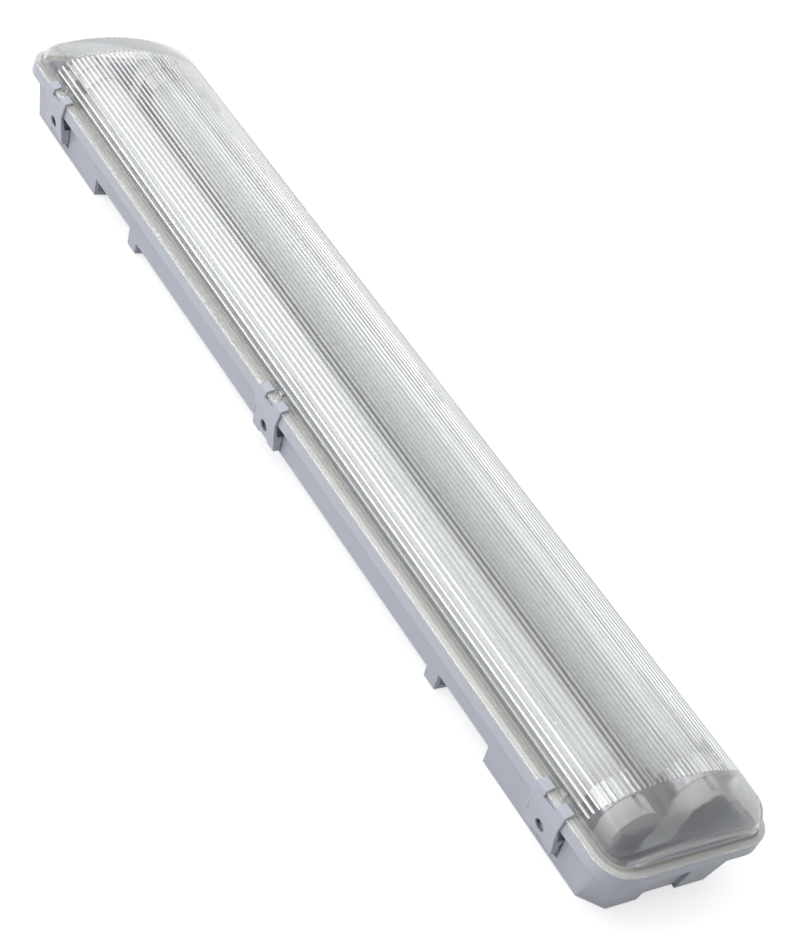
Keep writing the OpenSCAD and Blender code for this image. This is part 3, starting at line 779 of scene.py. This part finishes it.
def crownBorder(grid, xs, across):
    # The crown's border in the ring's order, with a corner's point repeated round its fan
    last, far = len(xs) - 1, len(across) - 1
    row = [grid[last][far]] * (lens["fan"] + 1)
    row += [grid[i][far] for i in range(last - 1, 0, -1)]
    row += [grid[0][far]] * (lens["fan"] + 1)
    row += [grid[0][j] for j in range(far - 1, 0, -1)]
    row += [grid[0][0]] * (lens["fan"] + 1)
    row += [grid[i][0] for i in range(1, last)]
    row += [grid[last][0]] * (lens["fan"] + 1)
    row += [grid[last][j] for j in range(1, far)]
    return row


lensZones = {"Clear": -0.5, "Frosted": 0.5, "Flange": 1.5}  # each finish starts above this zone


def ribTree():
    # Raises every crest from the inside of the dome by the rib's height, and gives each zone its
    # material
    tree = bpy.data.node_groups.new("raiseRibs", "GeometryNodeTree")
    tree.interface.new_socket("Geometry", in_out="INPUT", socket_type="NodeSocketGeometry")
    height = tree.interface.new_socket("Rib Height", in_out="INPUT", socket_type="NodeSocketFloat")
    finishes = [tree.interface.new_socket(name, in_out="INPUT", socket_type="NodeSocketMaterial")
                for name in lensZones]
    tree.interface.new_socket("Geometry", in_out="OUTPUT", socket_type="NodeSocketGeometry")
    start = tree.nodes.new("NodeGroupInput")
    end = tree.nodes.new("NodeGroupOutput")
    crest = tree.nodes.new("GeometryNodeInputNamedAttribute")
    crest.data_type = "FLOAT"
    crest.inputs["Name"].default_value = "ribCrest"
    normal = tree.nodes.new("GeometryNodeInputNormal")
    lift = tree.nodes.new("ShaderNodeVectorMath")
    lift.operation = "SCALE"
    link(tree, normal.outputs[0], lift.inputs[0])
    rise = maths(tree, "MULTIPLY", crest.outputs["Attribute"], start.outputs["Rib Height"])
    link(tree, rise, lift.inputs["Scale"])
    move = tree.nodes.new("GeometryNodeSetPosition")
    link(tree, start.outputs["Geometry"], move.inputs["Geometry"])
    link(tree, lift.outputs[0], move.inputs["Offset"])
    real = tree.nodes.new("GeometryNodeRealizeInstances")
    link(tree, move.outputs[0], real.inputs[0])
    zone = tree.nodes.new("GeometryNodeInputNamedAttribute")
    zone.data_type = "FLOAT"
    zone.inputs["Name"].default_value = "lensZone"
    last = real.outputs[0]
    for name, least in lensZones.items():
        finish = tree.nodes.new("GeometryNodeSetMaterial")
        chosen = maths(tree, "GREATER_THAN", zone.outputs["Attribute"], least)
        link(tree, start.outputs[name], finish.inputs["Material"])
        link(tree, chosen, finish.inputs["Selection"])
        link(tree, last, finish.inputs["Geometry"])
        last = finish.outputs[0]
    link(tree, last, end.inputs[0])
    return tree, height.identifier, [socket.identifier for socket in finishes]


def plainMesh(obj):
    # Turns the evaluated object into a plain mesh and takes its modifiers off
    seen = obj.evaluated_get(bpy.context.evaluated_depsgraph_get())
    mesh = bpy.data.meshes.new_from_object(seen)
    mesh.name = obj.name
    obj.modifiers.clear()
    obj.data = mesh


def makeDiffuser(finishes):
    # The finishes are those of the clear part, the frosted ends and the flange
    obj = makeLens()
    tree, heightSocket, finishSockets = ribTree()
    mod = obj.modifiers.new("raiseRibs", "NODES")
    mod.node_group = tree
    mod[heightSocket] = lens["ribHeight"]
    for socket, mat in zip(finishSockets, finishes):
        mod[socket] = mat
    plainMesh(obj)
    obj.data.shade_smooth()
    obj.data.set_sharp_from_angle(angle=math.radians(lens["sharpAngle"]))
    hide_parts("diffuser")
    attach(obj, "fitting")
    faces, materials = len(obj.data.polygons), len(obj.data.materials)
    print("diffuser made:", faces, "faces, materials:", materials)


hookStops = {
    "places": (-0.280, 0.0, 0.280),  # along the length, at both sides
    "size": (0.005, 0.0023, 0.0046),
    "middle": (0.0519, 0.0384),  # distance from the middle line, height
    "rounding": 0.0004,
    "roundingSteps": 2,
}


def stopTree():
    # A small block on every point, realised and given its material
    tree = bpy.data.node_groups.new("placeStops", "GeometryNodeTree")
    tree.interface.new_socket("Geometry", in_out="INPUT", socket_type="NodeSocketGeometry")
    size = tree.interface.new_socket("Block Size", in_out="INPUT", socket_type="NodeSocketVector")
    mat = tree.interface.new_socket("Finish", in_out="INPUT", socket_type="NodeSocketMaterial")
    tree.interface.new_socket("Geometry", in_out="OUTPUT", socket_type="NodeSocketGeometry")
    start = tree.nodes.new("NodeGroupInput")
    end = tree.nodes.new("NodeGroupOutput")
    block = tree.nodes.new("GeometryNodeMeshCube")
    link(tree, start.outputs["Block Size"], block.inputs["Size"])
    put = tree.nodes.new("GeometryNodeInstanceOnPoints")
    link(tree, start.outputs["Geometry"], put.inputs["Points"])
    link(tree, block.outputs["Mesh"], put.inputs["Instance"])
    real = tree.nodes.new("GeometryNodeRealizeInstances")
    link(tree, put.outputs[0], real.inputs[0])
    finish = tree.nodes.new("GeometryNodeSetMaterial")
    link(tree, start.outputs["Finish"], finish.inputs["Material"])
    link(tree, real.outputs[0], finish.inputs["Geometry"])
    link(tree, finish.outputs[0], end.inputs[0])
    return tree, size.identifier, mat.identifier


def makeHookStops(mat):
    y, z = hookStops["middle"]
    points = [(x, side * y, z) for x in hookStops["places"] for side in (-1, 1)]
    mesh = bpy.data.meshes.new("hookStops")
    mesh.from_pydata(points, [], [])
    obj = bpy.data.objects.new("hookStops", mesh)
    bpy.context.scene.collection.objects.link(obj)
    tree, sizeSocket, matSocket = stopTree()
    mod = obj.modifiers.new("placeStops", "NODES")
    mod.node_group = tree
    mod[sizeSocket] = hookStops["size"]
    mod[matSocket] = mat
    soften = obj.modifiers.new("rounding", "BEVEL")
    soften.width = hookStops["rounding"]
    soften.segments = hookStops["roundingSteps"]
    plainMesh(obj)
    obj.data.shade_smooth()
    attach(obj, "fitting")
    print("hook stops made:", len(obj.data.polygons), "faces")


finishes = {
    "tub": {"colour": (0.61, 0.636, 0.713), "roughness": 0.42, "grain": 0.12},
    "clip": {"colour": (0.60, 0.627, 0.705), "roughness": 0.38, "grain": 0.12},
    "holder": {"colour": (0.84, 0.84, 0.83), "roughness": 0.3, "grain": 0.05},
    "gasket": {"colour": (0.86, 0.83, 0.74)},
    # The tray's paint is white; its grey colour here is painted shade for the shade between the
    # lamps
    "tray": {"colour": (0.64, 0.65, 0.65)},
    "sleeve": {"colour": (0.82, 0.81, 0.78)},
    "cap": {"colour": (0.55, 0.55, 0.56), "roughness": 0.2},
    "pin": {"colour": (0.66, 0.66, 0.68), "roughness": 0.28},
    "brass": {"colour": (0.78, 0.60, 0.32), "roughness": 0.3},
    "rubber": {"colour": (0.03, 0.03, 0.033)},
}

clearFinishes = {
    "lensClear": {"colour": (0.97, 0.98, 0.98), "roughness": 0.001, "haze": 0.006, "shade": 0.95,
                  "veil": 0.0, "orangePeel": 0.002},
    "lensFrosted": {"colour": (0.73, 0.74, 0.75), "roughness": 0.10, "haze": 0.04, "shade": 0.48,
                    "veil": 0.07, "orangePeel": 0.0},
    "lensFlange": {"colour": (0.95, 0.95, 0.93), "roughness": 0.05, "haze": 0.03, "shade": 0.92,
                   "veil": 0.32, "orangePeel": 0.0},
}

makeCamera()
makeFloor()
makeWorld()
makeLamps()
dress(plasticMaterial("tubGreyPlastic", **finishes["tub"]), "housing")
dress(plasticMaterial("clipGreyPlastic", **finishes["clip"]), "clip_")
dress(foamMaterial("gasketFoam", **finishes["gasket"]), "gasket")
# The tray's grey colour is painted shade over white paint
dress(sheetPaintMaterial("trayPaintWithPaintedShade", **finishes["tray"]), "tray")
holderPlastic = plasticMaterial("holderPlastic", **finishes["holder"])
dress(holderPlastic, "holder_", "rotor_", "terminal_block")
dress(sleeveMaterial("wireSleeve", **finishes["sleeve"]), "loom_")
dress(lampMaterial("lampGlassWhite"), "glass_")
dress(metalMaterial("capAluminium", **finishes["cap"]), "cap_")
dress(metalMaterial("pinSteel", **finishes["pin"]), "pin_", "tray_screws")
dress(metalMaterial("terminalBrass", **finishes["brass"]), "terminal_screws")
dress(rubberMaterial("grommetRubber", **finishes["rubber"]), "cable_grommet")
clearLens, frostedLens, flangeLens = [
    clearMaterial(name, **finish) for name, finish in clearFinishes.items()]
makeDiffuser((clearLens, frostedLens, flangeLens))
makeHookStops(clearLens)
print("materials on")

bpy.context.scene.view_settings.view_transform = "Standard"
